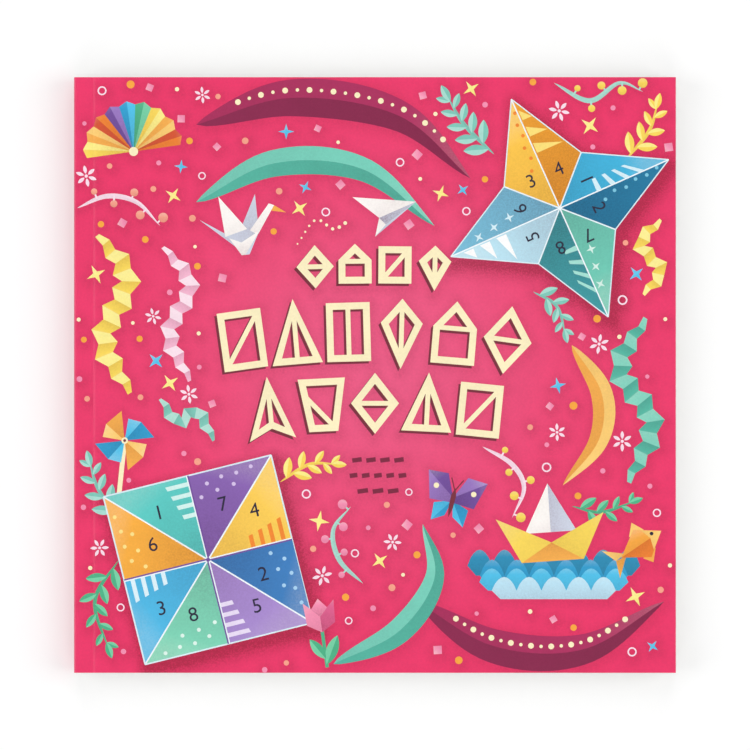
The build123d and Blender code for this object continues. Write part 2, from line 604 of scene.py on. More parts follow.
sheet_mesh, printed_faces, wall_end = printed_slab(
    "first_sheet", sheet_flat, sheet_faces, laid_flat,
    lambda x, y: (x, y), (pitch - SHEET_GAP) / MM, 20.0,
)
paper_ink = np.tile(np.array([linear("#FAF7EF")], np.float32), (printed_faces * 3, 1))
sheet_tones = np.zeros((printed_faces, 3), np.float32)
for number in range(1, len(template.inks) + 1):
    here = np.flatnonzero(sheet_top == number)
    for corner in range(3):
        x, y = sheet_flat[sheet_faces[here, corner]].T
        sheet_tones[here, corner] = graded(template, number, x, y)
        paper_ink[here * 3 + corner] = template.inks[number - 1]
coloured(sheet_mesh, printed_faces * 3, paper_ink, sheet_tones)
bake_map(sheet_mesh, sheet_flat, sheet_faces, wall_end, sheet_flat.min(0), sheet_flat.max(0))
smoothed(sheet_mesh, 30)
first_sheet = linked("first_sheet", sheet_mesh)
sheet_mesh.materials.append(offset_print("offset_ink_on_uncoated_paper", 0.75, 0.5, 0.012, 0.0))
sheet_mesh.materials.append(paper)
for face in sheet_mesh.polygons[printed_faces:]:
    face.material_index = 1
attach(first_sheet, "block")

# --- The binding glue ----------------------------------------------------------------------------
# Hot-melt binding glue, laid on the roughened bound edges and drawn a little way onto both outer
# sheets. It sets as a tough ivory strip with a waxy sheen and small ripples from the roller.


def hot_melt():
    """EVA hot-melt: ivory, slightly see-through, waxy, with ripples 2 mm apart."""
    material = bpy.data.materials.new("eva_hot_melt_glue")
    material.use_nodes = True
    tree = material.node_tree
    shader = tree.nodes["Principled BSDF"]
    where = add(tree, "ShaderNodeTexCoord").outputs["Object"]
    ripple = add(tree, "ShaderNodeTexNoise", {"Vector": where, "Scale": 1 / (2 * MM), "Detail": 3.0})
    tint = add(tree, "ShaderNodeValToRGB", {"Fac": ripple.outputs["Fac"]})
    ramp_of(tint, [(0.35, "#E9DDC0"), (0.65, "#F4ECD8")])
    bump = add(
        tree, "ShaderNodeBump",
        {"Height": ripple.outputs["Fac"], "Distance": 0.15 * MM, "Strength": 0.7},
    )
    tree.links.new(tint.outputs["Color"], shader.inputs["Base Color"])
    tree.links.new(bump.outputs["Normal"], shader.inputs["Normal"])
    shader.inputs["Roughness"].default_value = 0.4
    shader.inputs["IOR"].default_value = 1.48
    return material


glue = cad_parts["spine_glue"]
glue.data.materials.clear()
glue.data.materials.append(hot_melt())

# --- The cover's artwork -------------------------------------------------------------------------
# The cover is one sheet of folding board, offset printed in four colours on its outer side: a deep
# pink ground with folded-paper figures, leaves and streamers in flat inks with grainy shading.
GROUND_RIM, GROUND_HEART = "#EE3268", "#EE5A86"
CREAM, PLUM = "#FFF2C6", "#7A2D3C"
MAGENTA = ("#B02C5F", "#8E234F")
TEAL = ("#79D2BD", "#55B8A3")
AQUA = ("#A9DED2", "#7FC9BA")
YELLOW = ("#FFF08A", "#FBD95A")
AMBER = ("#FFD074", "#F9B04E")
ORANGE = ("#FBAA3F", "#F0832E")
BLUSH = ("#FDE1EE", "#F5B7D0")
WHITE = ("#FFFAF6", "#D3DAEA")
SKY = ("#4FC3EC", "#2E9FD0")
ICE = ("#BFE6F7", "#8CCDEB")
BLUE = ("#2A8FB8", "#1B6C93")
PURPLE = ("#9A78C2", "#744F9E")
GREEN = ("#77D3A8", "#4DB488")
PEACH, PINK = "#F9A48C", "#F792B4"
ROSE = (PINK, "#E0608F")

cover = Print()


def smooth_path(points, count):
    """count + 1 places, evenly spaced on a smooth curve through the points, each with the unit
    vector to its left."""
    knots = [Vector(p) for p in points]
    knots = [2 * knots[0] - knots[1], *knots, 2 * knots[-1] - knots[-2]]
    fine = []
    for a, b, c, d in zip(knots, knots[1:], knots[2:], knots[3:]):
        for i in range(24):
            t = i / 24
            fine.append(
                (2 * b + (c - a) * t + (2 * a - 5 * b + 4 * c - d) * t**2
                 + (3 * b - a - 3 * c + d) * t**3) / 2
            )
    fine = np.array([*fine, knots[-2]])
    steps = np.linalg.norm(np.diff(fine, axis=0), axis=1)
    run = np.concatenate([[0], np.cumsum(steps)])
    even = np.linspace(0, run[-1], count + 1)
    places = np.stack([np.interp(even, run, fine[:, k]) for k in (0, 1)], axis=1)
    along = np.gradient(places, axis=0)
    along /= np.linalg.norm(along, axis=1)[:, None]
    return places, np.stack([-along[:, 1], along[:, 0]], axis=1)


def blade(to, spine, width, inks, beads=None, steps=34):
    """A long curved leaf that tapers to both ends, folded along its spine: one half lit, the other
    in shade. beads is an ink for a row of small dots along it."""
    places, left = smooth_path(spine, steps)
    swell = np.array([math.sin(math.pi * (i / steps) ** 0.85) ** 0.8 for i in range(1, steps)])
    half = np.concatenate([[0], swell, [0]])[:, None] * width / 2
    fold_line = list(map(tuple, places))
    lit, shade = list(map(tuple, places + left * half)), list(map(tuple, places - left * half))
    root, tip = fold_line[0], fold_line[-1]
    cover.field(to, fold_line[:-1] + lit[:0:-1], inks[0], ((*root, -0.22), (*tip, 0.08)))
    cover.field(to, fold_line[:-1] + shade[:0:-1], inks[1], ((*root, -0.05), (*tip, -0.3)))
    if beads:
        bead_places, bead_left = smooth_path(spine, 26)
        for i in range(4, 23):
            x, y = bead_places[i] + bead_left[i] * width * 0.2
            cover.disc(to, x, y, 0.6 if i % 2 else 1.0, beads, sides=10)


def twig(to, spine, ink, berries):
    """A thin bending stalk that carries round berries, larger towards its tip."""
    places, left = smooth_path(spine, 22)
    blade(to, spine, 1.7, (ink, ink))
    for i in range(5, 22, 4):
        side = 1 if (i // 4) % 2 else -1
        x, y = places[i] + left[i] * side * 2.6
        cover.line(to, places[i], (x, y), 0.6, ink)
        cover.disc(to, x, y, 0.9 + 0.035 * i, berries, ((x, y - 1, -0.25), (x, y + 1, 0.15)), sides=14)


def leaf(to, long, wide, inks):
    """A small leaf that points along its own X, folded along its middle."""
    steps = 10
    rim = [(long * i / steps, wide / 2 * math.sin(math.pi * i / steps) ** 0.8) for i in range(1, steps)]
    cover.field(to, [(0, 0), (long, 0), *reversed(rim)], inks[0])
    cover.field(to, [(0, 0), *[(x, -y) for x, y in rim], (long, 0)], inks[1])


def sprig(to, spine, pairs, size, inks):
    """A stem with leaves on both sides that shorten towards its tip."""
    places, left = smooth_path(spine, 2 * pairs + 2)
    blade(to, spine, size * 0.16, (inks[1], inks[1]))
    for i in range(1, 2 * pairs + 2):
        heading = math.degrees(math.atan2(-left[i][0], left[i][1]))
        side = 1 if i % 2 else -1
        shrink = 1 - 0.5 * i / (2 * pairs + 2)
        leaf(place(*places[i], heading + side * 48, within=to), size * shrink, size * 0.42 * shrink, inks)
    tip = math.degrees(math.atan2(-left[-1][0], left[-1][1]))
    leaf(place(*places[-2], tip, within=to), size * 0.7, size * 0.3, inks)


def streamer(to, path, width, inks, pleats):
    """A strip of paper folded to and fro, seen on its edge: the pleats lean one way and the other,
    lit and in shade by turns, and it narrows to both ends."""
    places, left = smooth_path(path, pleats)
    lean = width * 0.2
    ups, downs = [], []
    for i in range(pleats + 1):
        taper = min(1.0, 0.25 + 1.1 * math.sin(math.pi * i / pleats))
        side = 1 if i % 2 else -1
        ups.append(places[i] + left[i] * (width / 2 * taper + lean * side * taper))
        downs.append(places[i] - left[i] * (width / 2 * taper - lean * side * taper))
    for i in range(pleats):
        dark = i % 2
        grade = ((*places[i], -0.3 if dark else 0.1), (*places[i + 1], 0.05))
        cover.field(to, [ups[i], downs[i], downs[i + 1], ups[i + 1]], inks[dark], grade)


def fan(to, radius, start, stop, inks, pleats):
    """A round paper fan: pleats that spread from a rivet, each with a lit and a shaded side."""
    for i in range(pleats):
        angles = [math.radians(start + (stop - start) * (i + k / 2) / pleats) for k in range(3)]
        radii = (radius * 0.93, radius, radius * 0.93)
        rim = [(r * math.cos(a), r * math.sin(a)) for r, a in zip(radii, angles)]
        lit, shade = inks[i % len(inks)]
        grade = ((*rim[1], 0.06), (0, 0, -0.45))
        cover.field(to, [(0, 0), rim[0], rim[1]], lit, grade)
        cover.field(to, [(0, 0), rim[1], rim[2]], shade, grade)
    cover.disc(to, 0, 0, radius * 0.09, CREAM)


def pinwheel(to, radius, inks, stick):
    """A paper windmill: four corners of a square turned in to a pin, on a stick."""
    cover.field(to, [(-0.8, -radius * 2.1), (0.8, -radius * 2.1), (0.8, 0), (-0.8, 0)], stick)
    for i in range(4):
        turned = place(0, 0, 90 * i + 12, within=to)
        lit, shade = inks[i % len(inks)]
        cover.field(
            turned, [(0, 0), (radius, 0), (radius * 0.62, radius * 0.56)], shade,
            ((radius, 0, 0.0), (0, 0, -0.4)),
        )
        cover.field(
            turned, [(0, 0), (radius * 0.62, radius * 0.56), (radius * 0.2, radius * 0.72)], lit,
            ((radius * 0.4, radius * 0.7, 0.15), (0, 0, -0.1)),
        )
    cover.disc(to, 0, 0, radius * 0.11, CREAM)
    cover.disc(to, 0, 0, radius * 0.05, PLUM, sides=10)


def paper_plane(to, inks):
    """A folded dart, nose to the right, about 26 mm long."""
    nose, keel = (13, 3), (-3.5, -1.0)
    cover.field(to, [nose, (-13, 9.5), keel], inks[0], ((-13, 9.5, 0.1), (*keel, -0.15)))
    cover.field(to, [nose, keel, (-6.5, -8.5)], inks[1], ((*nose, 0.1), (-6.5, -8.5, -0.3)))
    cover.field(to, [nose, keel, (-1.2, -4.2)], inks[1], ((*nose, -0.3), (*keel, -0.7)))
    cover.field(to, [keel, (-6.5, -8.5), (-1.2, -4.2)], inks[0], ((*keel, -0.2), (-6.5, -8.5, 0.1)))


def dotted_trail(to, path, count, ink, first=0.45, last=1.0):
    """A row of dots that grow along a path."""
    places, _ = smooth_path(path, count)
    for i, (x, y) in enumerate(places):
        cover.disc(to, x, y, first + (last - first) * i / count, ink, sides=10)


def boat(to, sail, hull):
    """A folded paper boat, about 24 mm long."""
    cover.field(to, [(-6, 0.2), (0, 0.2), (0, 11.5)], sail[0], ((-3, 5, 0.1), (0, 0, -0.2)))
    cover.field(to, [(0, 0.2), (6, 0.2), (0, 11.5)], sail[1], ((0, 0, -0.35), (6, 0, 0.0)))
    cover.field(to, [(-12.5, 4), (0, -2.2), (-7.2, -6.5)], hull[0], ((-12, 4, 0.15), (-3, -4, -0.1)))
    cover.field(to, [(12.5, 4), (7.2, -6.5), (0, -2.2)], hull[0], ((12, 4, 0.1), (3, -4, -0.2)))
    cover.field(to, [(-7.2, -6.5), (0, -2.2), (7.2, -6.5)], hull[1], ((0, -2.2, -0.35), (0, -6.5, 0.0)))


def waves(to, long, tall, crests, inks):
    """Rows of water like cut paper: scallops, each nearer row lower, shorter and in front."""
    for row, ink in enumerate(inks):
        scallop = long / crests
        count, drop = crests - row, row * tall * 0.62
        start = -count * scallop / 2
        crest = []
        for i in range(count * 8 + 1):
            arch = abs(math.sin(math.pi * i / 8)) ** 0.75
            crest.append((start + scallop * i / 8, -drop + tall * arch))
        base = [(-start - scallop * 0.35, -drop - tall * 0.62), (start + scallop * 0.35, -drop - tall * 0.62)]
        cover.field(to, crest + base, ink, ((0, -drop + tall, 0.12), (0, -drop - tall * 0.6, -0.3)))


def fish(to, inks, fins):
    """A folded paper fish, about 24 mm long, swimming to the right."""
    cover.field(to, [(-7, 0.5), (-14, 6.5), (-11.5, 0)], fins[0], ((-14, 6, 0.1), (-7, 0, -0.4)))
    cover.field(to, [(-7, -0.5), (-11.5, 0), (-14, -6.5)], fins[1], ((-14, -6, 0.0), (-7, 0, -0.5)))
    cover.field(to, [(-2, 5), (2, 9.2), (4.5, 4.2)], fins[0])
    cover.field(to, [(-2, -5), (4.5, -4.2), (0.5, -8.6)], fins[1])
    cover.field(to, [(-9, 0), (10, 0), (1, 6.5)], inks[0], ((1, 6, 0.15), (0, 0, -0.1)))
    cover.field(to, [(-9, 0), (1, -6.5), (10, 0)], inks[1], ((0, 0, -0.3), (1, -6, 0.0)))
    cover.field(to, [(3.4, 4.6), (10, 0), (3.4, -4.6), (4.8, 0)], fins[0], ((3.4, 0, -0.2), (10, 0, 0.1)))
    cover.disc(to, 6.2, 1.2, 0.75, NIGHT, sides=10)


def butterfly(to, upper, lower):
    """A folded paper butterfly, about 24 mm across."""
    for flip in (False, True):
        side = place(0, 0, 0, 1, flip, within=to)
        strong, weak = (1, 0) if flip else (0, 1)
        cover.field(side, [(0, 0), (7, -2.5), (6.5, -9.5)], lower[weak], ((0, 0, -0.4), (6, -8, 0.0)))
        cover.field(side, [(0, 0), (6.5, -9.5), (1.6, -6.5)], lower[strong], ((0, 0, -0.3), (6, -8, 0.1)))
        cover.field(side, [(0, 1), (4, 10), (12, 9.5)], upper[strong], ((0, 1, -0.3), (10, 10, 0.15)))
        cover.field(side, [(0, 1), (12, 9.5), (9, -1.5), (0, -1)], upper[weak], ((0, 0, -0.5), (11, 4, 0.05)))
        cover.disc(side, 7.6, 4.2, 1.1, CREAM, sides=12)
        cover.line(side, (0.2, 4.2), (2.4, 8.6), 0.45, PLUM)
    cover.field(to, [(0, 5), (1, 2), (0.9, -3), (0, -7), (-0.9, -3), (-1, 2)], PLUM)


def tulip(to, petals, leaves):
    """A folded paper tulip on its stem, about 26 mm tall."""
    cover.field(to, [(-0.6, -15), (0.6, -15), (0.6, 0), (-0.6, 0)], leaves[1])
    leaf(place(0, -14, 62, within=to), 11, 4.2, leaves)
    leaf(place(0, -12, 122, within=to), 9, 3.6, leaves)
    cover.field(to, [(-5.5, 8.5), (-5, 0.5), (0, -2.5), (0, 3.5)], petals[0], ((-5, 8, 0.15), (0, 0, -0.2)))
    cover.field(to, [(5.5, 8.5), (0, 3.5), (0, -2.5), (5, 0.5)], petals[1], ((5, 8, 0.1), (0, 0, -0.4)))
    cover.field(to, [(0, 9.5), (-2.9, 6), (0, 3.0), (2.9, 6)], petals[0], ((0, 9, 0.2), (0, 3, -0.6)))


def crane(to, inks):
    """A folded paper crane, about 30 mm from tail to beak."""
    cover.field(to, [(-4, 0.5), (-15, 8), (-2.5, -3.5)], inks[1], ((-15, 8, 0.1), (-3, -1, -0.3)))
    cover.field(to, [(-2, 1), (5.5, 15), (5.5, 1)], inks[1], ((5, 15, 0.0), (2, 0, -0.45)))
    cover.field(
        to, [(0.5, -3), (5.6, 1.4), (11.8, 10.4), (10, 11.2), (2.2, 2.2)], inks[0],
        ((11, 11, 0.1), (2, -1, -0.3)),
    )
    cover.field(to, [(11.8, 10.4), (15.8, 7.4), (10.6, 8.6)], AMBER[1])
    cover.field(to, [(-5.5, 1), (5.5, 1.6), (1.4, -6), (-1.4, -6)], inks[0], ((0, 1, 0.1), (0, -6, -0.4)))
    cover.field(to, [(0, -6), (5.5, 1.6), (1.4, -6)], inks[1])
    cover.field(to, [(-6.5, 1), (-7.5, 15.5), (1.5, 3)], inks[0], ((-7, 15, 0.2), (-2, 1, -0.15)))
    cover.field(to, [(-6.5, 1), (1.5, 3), (4.2, 1.2), (-1, -1.5)], inks[1], ((-6, 1, -0.1), (4, 1, -0.35)))


def sparkle(to, radius, ink, points=4):
    """A small star of thin rays, its middle lighter."""
    turns = [math.pi * i / points for i in range(2 * points)]
    radii = [radius if i % 2 == 0 else radius * 0.3 for i in range(2 * points)]
    outline = [(r * math.cos(a), r * math.sin(a)) for r, a in zip(radii, turns)]
    cover.field(to, outline, ink, ((0, -radius, -0.12), (0, radius, 0.2)))


def daisy(to, radius, ink, petals=6):
    """A small flower of thin petals round an open middle."""
    for i in range(petals):
        turned = place(0, 0, 360 * i / petals + 15, within=to)
        leaf(place(radius * 0.22, 0, within=turned), radius * 0.8, radius * 0.34, (ink, ink))
    cover.disc(to, 0, 0, radius * 0.16, ink, sides=10)


def striped(turned, reach, side, way, mark):
    """Four short bars across a flap, from its fold towards its edge."""
    for k in range(4):
        near, far = reach * (0.34 + 0.13 * k), reach * (0.385 + 0.13 * k)
        cover.field(turned, [
            (near, way * 0.25),
            (far, way * 0.25),
            (far + (side - far) * 0.32, way * side * 0.32),
            (near + (side - near) * 0.32, way * side * 0.32),
        ], mark)


def dotted(turned, reach, side, way, mark):
    """Six dots along a flap, in two rows."""
    for k in range(6):
        out, off = 0.38 + 0.1 * k, 0.075 + 0.04 * ((k + 1) % 2)
        cover.disc(turned, reach * out, way * reach * off * (1.15 - out), reach * 0.016, mark, sides=9)


def toothed(turned, reach, side, way, mark):
    """Three pointed teeth on a flap's fold."""
    for k in range(3):
        tip = reach * (0.5 + 0.15 * k)
        cover.field(turned, [
            (tip, way * 0.6),
            (tip + reach * 0.09, way * 0.6),
            (tip, way * (reach - tip) * 0.5),
        ], mark)


def starred(turned, reach, side, way, mark):
    """Three sparkles along a flap."""
    for k in range(3):
        out = 0.42 + 0.15 * k
        to = place(reach * out, way * reach * 0.16 * (1.05 - out), 20 * k, within=turned)
        sparkle(to, reach * 0.045, mark)


FLAP_PATTERNS = (striped, dotted, toothed, starred)
PALE_FOLDS = ("#F4FBFF", "#EAF6FB", "#DDF0F8")  # the paper's own white where it is creased or cut


def opened_teller(to, reach, inks, numbers):
    """A folded fortune teller seen from above, its four points open: each point is a lit and a
    shaded side, with a plain numeral on each, and a pale line where the paper is folded."""
    valley = reach * 0.5
    side = valley * math.sqrt(0.5)
    radii = [reach if i % 2 == 0 else valley for i in range(8)]
    angles = [math.pi / 4 * i for i in range(8)]
    rim = [to((r * math.cos(a), r * math.sin(a))) for r, a in zip(radii, angles)]
    cover.shadows.append((rim, 7.0, 0.8))
    for i in range(4):
        turned = place(0, 0, 90 * i, within=to)
        (lit, lit_mark), (shade, shade_mark) = inks[i]
        sides = (
            (1, lit, lit_mark, ((reach * 0.8, 2, 0.12), (0, 0, -0.45))),
            (-1, shade, shade_mark, ((reach, 0, -0.05), (0, 0, -0.6))),
        )
        for k, (way, ink, mark, grade) in enumerate(sides):
            cover.field(turned, [(0, 0), (reach, 0), (side, way * side)], ink, grade)
            FLAP_PATTERNS[(i + k) % 4](turned, reach, side, way, mark)
            upright = place(reach * 0.3, way * side * 0.36, -90, within=turned)
            cover.numeral(upright, str(numbers[2 * i + k]), reach * 0.115, NIGHT)
            cover.line(turned, (0, 0), (side, way * side), 0.45, PALE_FOLDS[1])
            cover.line(turned, (reach, 0), (side, way * side), 0.4, PALE_FOLDS[2])
        cover.line(turned, (0, 0), (reach, 0), 0.45, PALE_FOLDS[0])


DOT_PLACES = (  # on a flap of the pressed toy, as shares of half its side
    (0.2, 0.86), (0.38, 0.9), (0.56, 0.9), (0.74, 0.93), (0.1, 0.72), (0.3, 0.76), (0.5, 0.78),
)


def flat_teller(to, half, inks, numbers):
    """The same toy pressed flat: a square of four flaps, each flap two coloured triangles."""
    corners = [(-half, -half), (half, -half), (half, half), (-half, half)]
    cover.shadows.append(([to(p) for p in corners], 6.5, 0.85))
    for i in range(4):
        turned = place(0, 0, 90 * i, within=to)
        (first, first_mark), (second, second_mark) = inks[i]
        first_grade = ((half, half / 2, 0.1), (0, 0, -0.4))
        second_grade = ((half / 2, half, 0.1), (0, 0, -0.5))
        cover.field(turned, [(0, 0), (half, 0), (half, half)], first, first_grade)
        cover.field(turned, [(0, 0), (half, half), (0, half)], second, second_grade)
        for k in range(4):
            near = half * (0.52 + 0.12 * k)
            far = near + half * 0.05
            bar = [(near, 0.3), (far, 0.3), (far, near * 0.32), (near, near * 0.3)]
            cover.field(turned, bar, first_mark)
        for x, y in DOT_PLACES:
            cover.disc(turned, half * x, half * y, half * 0.024, second_mark, sides=9)
        for number, x, y in ((2 * i, 0.66, 0.42), (2 * i + 1, 0.32, 0.58)):
            upright = place(half * x, half * y, -90 * i, within=turned)
            cover.numeral(upright, str(numbers[number]), half * 0.17, NIGHT)
        cover.line(turned, (0, 0), (half, half), 0.5, PALE_FOLDS[0])
        cover.line(turned, (half, -half), (half, half), 0.5, PALE_FOLDS[2])
    for i in range(4):
        turned = place(0, 0, 90 * i, within=to)
        cover.line(turned, (0, 0), (half, 0), 0.9, PURPLE[1])
        cover.line(turned, (0.6, 0.25), (half, 0.25), 0.4, PALE_FOLDS[0])


FOLDS = {  # steps of folding a sheet, each an outline and its creases, one unit wide and high
    "sheet": ([(-0.5, -0.5), (0.5, -0.5), (0.5, 0.5), (-0.5, 0.5)], [((-0.5, -0.5), (0.5, 0.5))]),
    "gate": ([(-0.5, -0.5), (0.5, -0.5), (0.5, 0.5), (-0.5, 0.5)], [((0, -0.5), (0, 0.5))]),
    "diamond": ([(0, -0.54), (0.54, 0), (0, 0.54), (-0.54, 0)], [((-0.5, 0), (0.5, 0))]),
    "tent": ([(-0.55, -0.5), (0.55, -0.5), (0, 0.54)], [((0, 0.5), (0, -0.5))]),
    "kite": ([(0, -0.56), (0.46, 0.16), (0, 0.54), (-0.46, 0.16)], [((0, -0.5), (0, 0.5))]),
    "house": (
        [(-0.5, -0.5), (0.5, -0.5), (0.5, 0.12), (0, 0.54), (-0.5, 0.12)],
        [((-0.46, 0.12), (0.46, 0.12))],
    ),
    "dart": ([(-0.5, -0.52), (0, -0.32), (0.5, -0.52), (0, 0.56)], [((0, 0.5), (0, -0.3))]),
    "cup": ([(-0.54, 0.5), (-0.32, -0.5), (0.32, -0.5), (0.54, 0.5)], [((-0.47, 0.2), (0.32, -0.5))]),
}
STROKE, CREASE = 2.3, 1.6  # widths of the rows' lines


def outlined(to, corners, width, ink):
    """A closed band of even width round these corners."""
    loop = [Vector(p) for p in corners]
    count = len(loop)
    inner, outer = [], []
    for i, corner in enumerate(loop):
        before = (corner - loop[i - 1]).normalized()
        after = (loop[(i + 1) % count] - corner).normalized()
        mitre = Vector((-(before.y + after.y), before.x + after.x)).normalized()
        reach = width / 2 / max(0.45, abs(mitre.dot(Vector((-before.y, before.x)))))
        inner.append(corner + mitre * reach)
        outer.append(corner - mitre * reach)
    for i in range(count):
        j = (i + 1) % count
        cover.field(to, [outer[i], outer[j], inner[j], inner[i]], ink)


def fold_row(names, pitch_mm, wide, tall, centre_y, arch):
    """A row of fold steps on a shallow arch, drawn in thick cream lines with a plum shadow."""
    count = len(names)
    for i, name in enumerate(names):
        x = (i - (count - 1) / 2) * pitch_mm
        y = centre_y - arch * (2 * x / (count * pitch_mm)) ** 2
        outline, creases = FOLDS[name]
        for drop, ink in ((0.8, PLUM), (0, CREAM)):
            to = place(x - drop, y - drop, -arch * x / pitch_mm * 0.8)
            for (ax, ay), (bx, by) in creases:
                cover.line(to, (ax * wide, ay * tall), (bx * wide, by * tall), CREASE, ink)
            outlined(to, [(px * wide, py * tall) for px, py in outline], STROKE, ink)


def room_beside(outlines):
    """Gives a function that says how far a place stands from these outlines, 0 inside one."""
    starts = np.array([p for o in outlines for p in o])
    ends = np.array([p for o in outlines for p in [*o[1:], o[0]]])
    firsts = np.cumsum([0] + [len(o) for o in outlines[:-1]])
    side = ends - starts
    rise = np.where(side[:, 1] == 0, 1.0, side[:, 1])

    def room(x, y):
        offset = np.array([x, y]) - starts
        share = np.clip((offset * side).sum(1) / np.maximum((side**2).sum(1), 1e-9), 0, 1)
        away = np.linalg.norm(offset - share[:, None] * side, axis=1).min()
        crosses = (starts[:, 1] > y) != (ends[:, 1] > y)
        beyond = crosses & (x < starts[:, 0] + (y - starts[:, 1]) * side[:, 0] / rise)
        return 0.0 if (np.add.reduceat(beyond.astype(int), firsts) % 2).any() else away

    return room


def scattered(middle, half_wide, spacing, quiet):
    """Small things between the figures: sparkles, daisies, folded squares, dots and rings, spread
    evenly as a sunflower's seeds and a little shaken. A thing that lacks room is left out."""
    room = room_beside([*cover.outlines, quiet])
    shake = random.Random(11)
    golden = math.pi * (3 - math.sqrt(5))
    for i in range(int(half_wide**2 * 8 / spacing**2)):
        reach = spacing * 0.56 * math.sqrt(i + 0.5)
        x = middle + reach * math.cos(i * golden) + shake.uniform(-1.6, 1.6)
        y = reach * math.sin(i * golden) + shake.uniform(-1.6, 1.6)
        to = place(x, y, shake.uniform(0, 90), shake.uniform(0.8, 1.1))
        size, draw = SMALL_THINGS[i % len(SMALL_THINGS)]
        if abs(x - middle) < half_wide - size and abs(y) < head - size and room(x, y) > size + 0.8:
            draw(to)


def folded_square(to):
    """A tiny square of pink paper, lit on one side."""
    corners = [(1.8, 0), (0, 1.8), (-1.8, 0), (0, -1.8)]
    cover.field(to, corners, PINK, ((-1.8, 0, 0.3), (1.8, 0, -0.2)))


SMALL_THINGS = [  # each with the room it takes
    (3.4, lambda to: sparkle(to, 3.4, YELLOW[0])),
    (1.2, lambda to: cover.disc(to, 0, 0, 1.1, PEACH, sides=12)),
    (3.2, lambda to: daisy(to, 3.4, BLUSH[0])),
    (0.9, lambda to: cover.disc(to, 0, 0, 0.75, CREAM, sides=10)),
    (1.8, folded_square),
    (1.3, lambda to: cover.disc(to, 0, 0, 1.25, ORANGE[0], sides=12)),
    (1.6, lambda to: cover.ring(to, 0, 0, 1.3, 0.5, BLUSH[0], sides=14)),
    (3.0, lambda to: sparkle(to, 2.8, SKY[0])),
    (1.0, lambda to: cover.disc(to, 0, 0, 0.9, PINK, sides=12)),
]


# The large curved leaves and the streamers that frame the middle.
sheet = place()
sprig(sheet, [(40, 74), (30, 84), (24, 94)], 4, 9, AQUA)
sprig(sheet, [(84, 72), (92, 82), (95, 92)], 3, 8, YELLOW)
sprig(sheet, [(-86, -48), (-93, -38), (-96, -28)], 3, 8, AQUA)
sprig(sheet, [(-32, -36), (-22, -30), (-12, -30)], 3, 7.5, YELLOW)
sprig(sheet, [(-86, -62), (-94, -76), (-89, -93)], 4, 8, GREEN)
sprig(sheet, [(66, -44), (76, -46), (88, -42)], 3, 7, GREEN)
blade(sheet, [(-60, 84), (-28, 93), (8, 87), (32, 66)], 13, MAGENTA, CREAM)
blade(sheet, [(-60, 58), (-34, 71), (-4, 69), (20, 50)], 9.5, TEAL)
blade(sheet, [(14, -76), (40, -91), (70, -92), (97, -76)], 12, MAGENTA, CREAM)
blade(sheet, [(66, 10), (76, -6), (75, -22), (63, -37)], 7.5, AMBER)
blade(sheet, [(-14, -97), (8, -86), (20, -68), (16, -50)], 8.5, TEAL)
streamer(sheet, [(-93, 47), (-83, 32), (-91, 12), (-82, -6)], 6.5, YELLOW, 16)
streamer(sheet, [(-71, 43), (-62, 30), (-69, 14), (-62, -2)], 4.8, BLUSH, 16)
streamer(sheet, [(91, 19), (82, 2), (93, -16), (85, -36)], 6.2, TEAL, 17)
streamer(sheet, [(96, 52), (89, 44), (96, 35), (90, 27)], 4.2, YELLOW, 11)
streamer(sheet, [(-72, -8), (-66, -16), (-60, -12), (-54, -22)], 3.8, AQUA, 10)
sprig(sheet, [(53, 28), (61, 23), (64, 13)], 3, 7, AQUA)
twig(sheet, [(-100, 56), (-90, 60), (-80, 58), (-72, 50)], BLUSH[0], PEACH)
twig(sheet, [(36, -24), (46, -30), (50, -38), (46, -48)], BLUSH[0], YELLOW[1])
twig(sheet, [(-4, -70), (-12, -62), (-14, -52), (-8, -44)], AQUA[0], PINK)
twig(sheet, [(60, 98), (72, 92), (82, 98), (90, 95)], AQUA[0], YELLOW[1])

# Folded figures.
fan(place(-81, 75, 8), 17, 0, 180, [(ORANGE[1], "#D9542F"), AMBER, YELLOW, GREEN, SKY, PURPLE], 9)
crane(place(-44, 46, 6, 0.95), WHITE)
pinwheel(place(-84, -22, -6), 10, [SKY, AMBER], CREAM)
opened_teller(
    place(62, 56, 24), 40,
    [(("#3FB6E0", "#D8F1FA"), ("#1F7FA8", "#7CC8E2")), (("#FFC84A", "#F58A2C"), ("#F5A52E", "#FFE37A")),
     (("#BDE5F4", "#FFFFFF"), ("#7CC4E0", "#D8F1FA")), (("#6FCBB6", "#D7F3EA"), ("#3E9FA6", "#A5E0D4"))],
    [1, 2, 3, 4, 5, 6, 7, 8],
)
flat_teller(
    place(-56, -62, 14), 29,
    [(("#FFD056", "#F5892F"), ("#8A63B2", "#D9C4EC")), (("#5CCDC6", "#D6F5F0"), ("#FBB03F", "#FFE58C")),
     (("#4DB9E6", "#DFF4FC"), ("#7FD6B8", "#E1F8EE")), (("#A98BD0", "#ECDFF7"), ("#3D7FC0", "#A9D3F2"))],
    [4, 7, 1, 6, 3, 8, 5, 2],
)
waves(place(60, -64), 58, 5.4, 7, [BLUE[0], SKY[1]])
boat(place(59, -53, 4, 1.45), WHITE, (YELLOW[1], AMBER[1]))
waves(place(60, -69.5), 50, 4.6, 6, [SKY[0], ICE[0]])
fish(place(89, -57, 34, 0.85), ORANGE, AMBER)
butterfly(place(26, -42, -14, 0.85), PURPLE, SKY)
tulip(place(-18, -84, 8, 0.95), ROSE, GREEN)
paper_plane(place(4, 54, 10, 0.8), WHITE)
dotted_trail(sheet, [(-26, 44), (-20, 52), (-14, 49), (-10, 51)], 9, CREAM, 0.3, 0.65)

